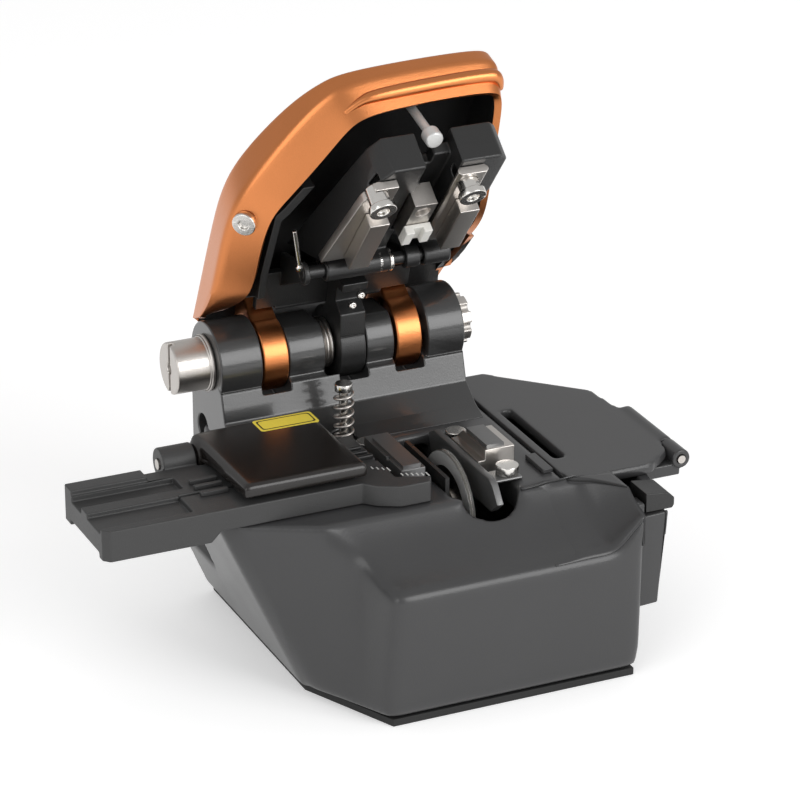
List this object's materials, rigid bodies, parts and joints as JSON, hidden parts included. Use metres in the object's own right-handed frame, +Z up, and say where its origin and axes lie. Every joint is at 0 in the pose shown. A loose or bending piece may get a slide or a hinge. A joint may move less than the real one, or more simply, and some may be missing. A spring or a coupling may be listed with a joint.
{
  "type": "one-action optical fibre cleaver with scrap bin",
  "caption": "One-action optical fibre cleaver standing open: orange hinged lid with clamp head, dark cast body, sliding fibre holder and scrap bin.",
  "frame": {"origin": "centre of the rubber base's underside", "axes": "+Z up, front of the housing faces -Y, scrap bin at +X, fibre holder at -X"},
  "size_m": [0.1177, 0.0739, 0.1109],
  "materials": {
    "body": "satin dark grey paint",
    "black": "satin black coating",
    "orange": "anodised copper orange, fine blasted",
    "steel": "ground steel",
    "bright": "polished steel",
    "pad": "matt black rubber",
    "holder": "fine matt dark grey",
    "gloss": "smooth black",
    "white": "off-white ceramic"
  },
  "bodies": {
    "base": {"main_housing": "body", "rubber_base": "pad", "base_plate": "steel", "hinge_bracket": "body", "hinge_pin": "steel", "hinge_nut": "steel", "lid_torsion_spring": "steel", "left_lower_clamp": "black", "left_lower_pad": "pad", "right_clamp_plate": "steel", "right_lower_clamp": "steel", "right_lower_pad": "pad", "guard_plate": "black", "deck_tab": "body", "deck_screws": "bright", "carriage_rails": "steel", "plunger_spring": "steel"},
    "lid_arm": {"lid": "orange", "lid_liner": "black", "lid_lever": "black", "lid_side_screw": "bright", "head_guide_rod": "bright", "lid_magnet": "bright"},
    "clamp_head": {"head_frame": "black", "left_clamp_bar": "steel", "right_clamp_bar": "steel", "left_clamp_pad": "steel", "right_clamp_pad": "steel", "clamp_post_screws": "bright", "head_pivot_pin": "steel"},
    "anvil": {"anvil_block": "steel", "anvil_fork": "white"},
    "carriage": {"blade_carriage": "black"},
    "blade": {"blade_wheel": "bright", "blade_spindle": "steel"},
    "holder": {"fibre_holder": "holder", "holder_ribs": "holder", "cover_hinge_pin": "steel"},
    "fibre_flap": {"holder_cover": "gloss", "cover_pad": "pad"},
    "bin": {"scrap_bin": "gloss", "bin_hinge_pin": "steel"},
    "bin_lid": {"bin_cover": "body"},
    "latch": {"bin_latch": "black"},
    "plunger": {"plunger_pin": "bright"}
  },
  "joints": [
    {"name": "lid_hinge", "type": "hinge", "parent": "base", "child": "lid_arm", "pos_m": [0, 0.0288, 0.05], "axis": [1, 0, 0], "range_deg": [0, 74], "stiffness_Nm_per_rad": 0.03, "springref_deg": -17.19},
    {"name": "head_pivot", "type": "hinge", "parent": "lid_arm", "child": "clamp_head", "pos_m": [0, 0.01702, 0.07003], "axis": [1, 0, 0], "range_deg": [-24, 0]},
    {"name": "anvil_press", "type": "slide", "parent": "clamp_head", "child": "anvil", "axis": [0, 0.766, 0.6428], "range_m": [0, 0.0012], "stiffness_N_per_m": 400},
    {"name": "carriage_slide", "type": "slide", "parent": "base", "child": "carriage", "axis": [0, 1, 0], "range_m": [0, 0.007]},
    {"name": "blade_index", "type": "hinge", "parent": "carriage", "child": "blade", "pos_m": [0.003, -0.008, 0.0287], "axis": [1, 0, 0], "continuous": true},
    {"name": "holder_slide", "type": "slide", "parent": "base", "child": "holder", "axis": [1, 0, 0], "range_m": [-0.012, 0]},
    {"name": "cover_hinge", "type": "hinge", "parent": "holder", "child": "fibre_flap", "pos_m": [-0.035, 0.0086, 0.0404], "axis": [1, 0, 0], "range_deg": [-90, 0]},
    {"name": "bin_slide", "type": "slide", "parent": "base", "child": "bin", "axis": [1, 0, 0], "range_m": [0, 0.015]},
    {"name": "bin_cover_hinge", "type": "hinge", "parent": "bin", "child": "bin_lid", "pos_m": [0.047, 0, 0.0344], "axis": [0, 1, 0], "range_deg": [0, 90]},
    {"name": "bin_latch_slide", "type": "slide", "parent": "bin", "child": "latch", "axis": [1, 0, 0], "range_m": [0, 0.0015], "stiffness_N_per_m": 200},
    {"name": "plunger_press", "type": "slide", "parent": "base", "child": "plunger", "axis": [0, 0, -1], "range_m": [0, 0.002], "stiffness_N_per_m": 150, "deforming": ["plunger_spring"]}
  ],
  "couplings": [
    {"joint": "head_pivot", "follows": "lid_hinge", "ratio": -0.32432}
  ]
}
